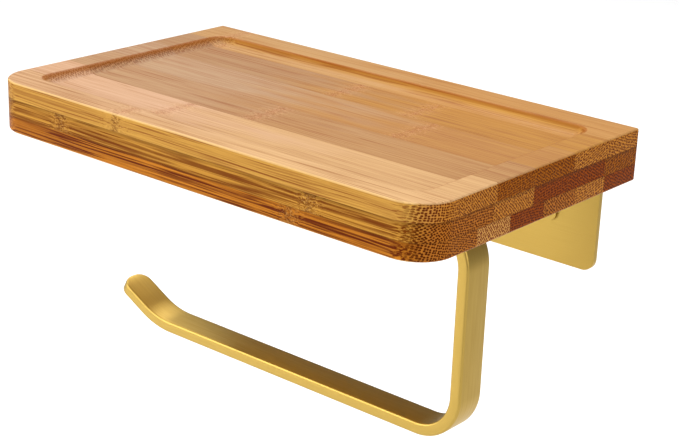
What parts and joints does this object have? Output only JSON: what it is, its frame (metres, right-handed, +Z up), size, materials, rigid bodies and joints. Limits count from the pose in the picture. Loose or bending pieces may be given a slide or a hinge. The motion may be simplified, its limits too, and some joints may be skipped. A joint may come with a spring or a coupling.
{
  "type": "toilet paper holder",
  "caption": "Wall-mounted toilet paper holder: laminated bamboo shelf with a shallow recess on a gold sheet bracket, with a flat-bar paper arm under it that is open at one end.",
  "frame": {"origin": "centre of the wall plate's back face, on the wall", "axes": "+X along the shelf to its right end, where the arm comes down, +Y into the wall, +Z up"},
  "size_m": [0.2, 0.12, 0.105],
  "materials": {
    "bamboo_top": "carbonised bamboo under satin lacquer, light tan strips",
    "bamboo_middle": "carbonised bamboo under satin lacquer, ochre strips",
    "bamboo_bottom": "carbonised bamboo under satin lacquer, red-brown strips",
    "gold_metal": "fine brushed steel with a gold coating",
    "screw_steel": "gold plated screws"
  },
  "bodies": {
    "root": {"top_strip_1": "bamboo_top", "top_strip_2": "bamboo_top", "top_strip_3": "bamboo_top", "top_strip_4": "bamboo_top", "top_strip_5": "bamboo_top", "top_strip_6": "bamboo_top", "middle_strip_1": "bamboo_middle", "middle_strip_2": "bamboo_middle", "middle_strip_3": "bamboo_middle", "middle_strip_4": "bamboo_middle", "middle_strip_5": "bamboo_middle", "middle_strip_6": "bamboo_middle", "bottom_strip_1": "bamboo_bottom", "bottom_strip_2": "bamboo_bottom", "bottom_strip_3": "bamboo_bottom", "bottom_strip_4": "bamboo_bottom", "bottom_strip_5": "bamboo_bottom", "bottom_strip_6": "bamboo_bottom", "wall_bracket": "gold_metal", "paper_arm": "gold_metal", "shelf_screw_1": "screw_steel", "shelf_screw_2": "screw_steel", "shelf_screw_3": "screw_steel", "shelf_screw_4": "screw_steel", "arm_screw_1": "screw_steel", "arm_screw_2": "screw_steel"}
  },
  "joints": []
}
